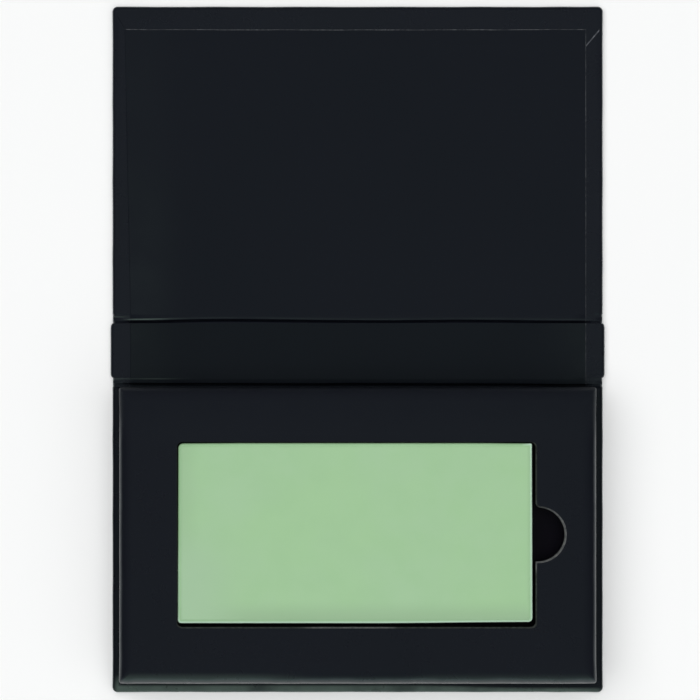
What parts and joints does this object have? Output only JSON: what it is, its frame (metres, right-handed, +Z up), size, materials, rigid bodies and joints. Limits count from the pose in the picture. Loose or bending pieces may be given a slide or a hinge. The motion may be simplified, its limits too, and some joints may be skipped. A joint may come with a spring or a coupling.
{
  "type": "wet palette",
  "caption": "Pocket wet palette in a book-style covered-board case: spine and cover fold over a raised tray whose notched window holds a lift-out green pad and palette sheet.",
  "frame": {"origin": "under the middle of the opened case, on the surface that it lies on", "axes": "+X across the case towards the thumb notch, +Y from the base's front edge to the cover's far edge, +Z up out of the tray"},
  "size_m": [0.1692, 0.2348, 0.0214],
  "materials": {
    "covering_paper": "satin",
    "lining_paper": "matte",
    "greyboard": "matte",
    "rail_board": "matte",
    "tape_paper": "matte",
    "liner_plastic": "satin",
    "block_foam": "matte",
    "pad_foam": "matte",
    "sheet_paper": "satin",
    "magnet_metal": "satin"
  },
  "bodies": {
    "base": {"base_board": "greyboard", "base_wrap": "covering_paper", "base_lining": "lining_paper", "base_joint_wrap": "covering_paper", "base_joint_lining": "lining_paper", "front_rail": "rail_board", "rear_rail": "rail_board", "left_rail": "rail_board", "right_rail": "rail_board", "corner_stays": "tape_paper", "deck_board": "greyboard", "tray_wrap": "covering_paper", "tray_magnets": "magnet_metal", "well_liner": "liner_plastic", "riser_block": "block_foam"},
    "spine": {"spine_board": "greyboard", "spine_wrap": "covering_paper", "spine_lining": "lining_paper"},
    "cover": {"cover_board": "greyboard", "cover_wrap": "covering_paper", "cover_lining": "lining_paper", "cover_magnets": "magnet_metal", "cover_joint_wrap": "covering_paper", "cover_joint_lining": "lining_paper"},
    "pad": {"sponge_pad": "pad_foam"},
    "sheet": {"palette_sheet": "sheet_paper"}
  },
  "joints": [
    {"name": "spine_hinge", "type": "hinge", "parent": "base", "child": "spine", "pos_m": [0, -0.01125, 0.0013], "axis": [-1, 0, 0], "range_deg": [-90, 0], "deforming": ["base_joint_wrap", "base_joint_lining"]},
    {"name": "cover_hinge", "type": "hinge", "parent": "spine", "child": "cover", "pos_m": [0, 0.01045, 0.0013], "axis": [-1, 0, 0], "range_deg": [-90, 0], "deforming": ["cover_joint_wrap", "cover_joint_lining"]},
    {"name": "pad_lift", "type": "slide", "parent": "base", "child": "pad", "axis": [0, 0, 1], "range_m": [0, 0.03]},
    {"name": "sheet_lift", "type": "slide", "parent": "pad", "child": "sheet", "axis": [0, 0, 1], "range_m": [0, 0.02]}
  ]
}
